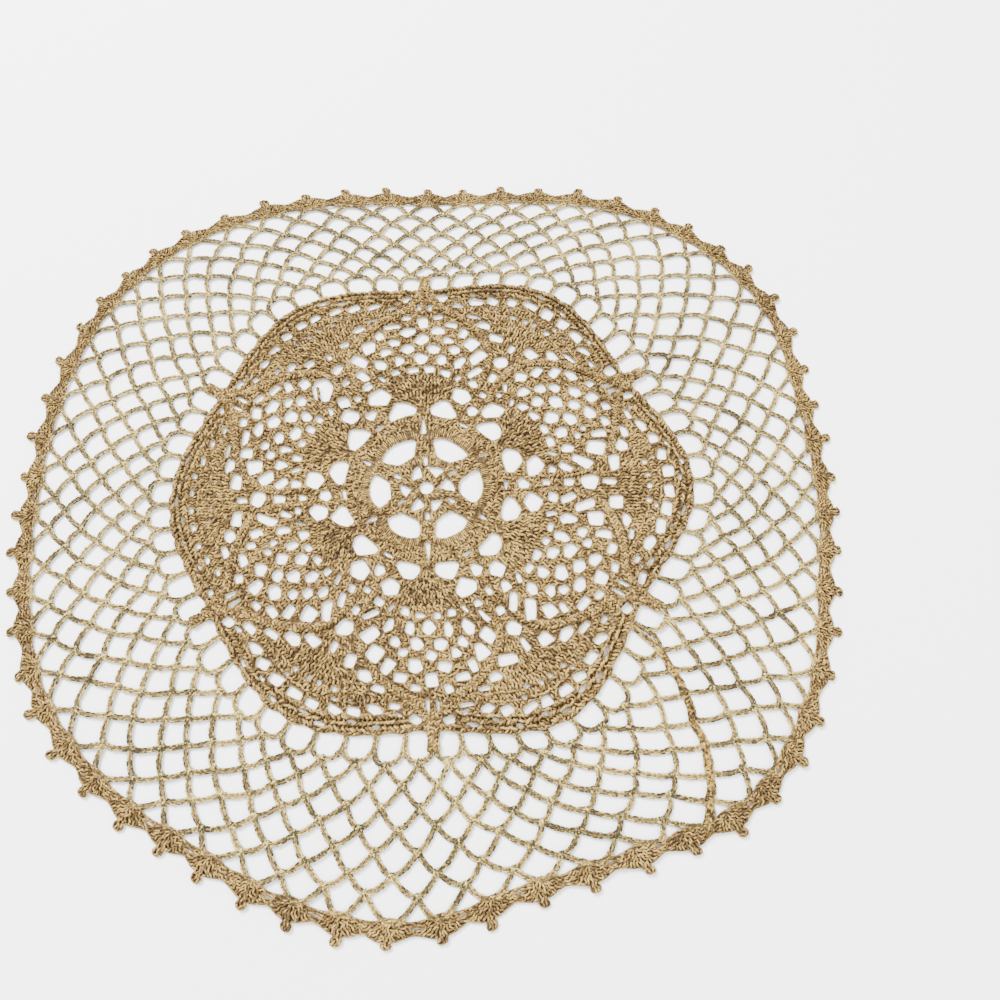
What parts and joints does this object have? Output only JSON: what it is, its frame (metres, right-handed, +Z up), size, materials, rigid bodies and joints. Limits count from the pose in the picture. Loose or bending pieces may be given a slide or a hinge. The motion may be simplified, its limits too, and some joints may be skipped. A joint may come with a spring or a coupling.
{
  "type": "crocheted doily",
  "caption": "Round crocheted cotton doily that lies flat: a rose of petals, fans and pineapple mesh inside a ribbed rim, then a wide loop net and a dense picot border.",
  "frame": {"origin": "middle of the doily's box, at the underside, where it rests", "axes": "+Z up through the doily, +X towards the side that is on the right in the picture, +Y towards the far side"},
  "size_m": [0.2786, 0.2692, 0.0026],
  "materials": {
    "crocheted_cotton": "matte mercerised cotton thread"
  },
  "bodies": {
    "root": {"doily": "crocheted_cotton"}
  },
  "joints": []
}
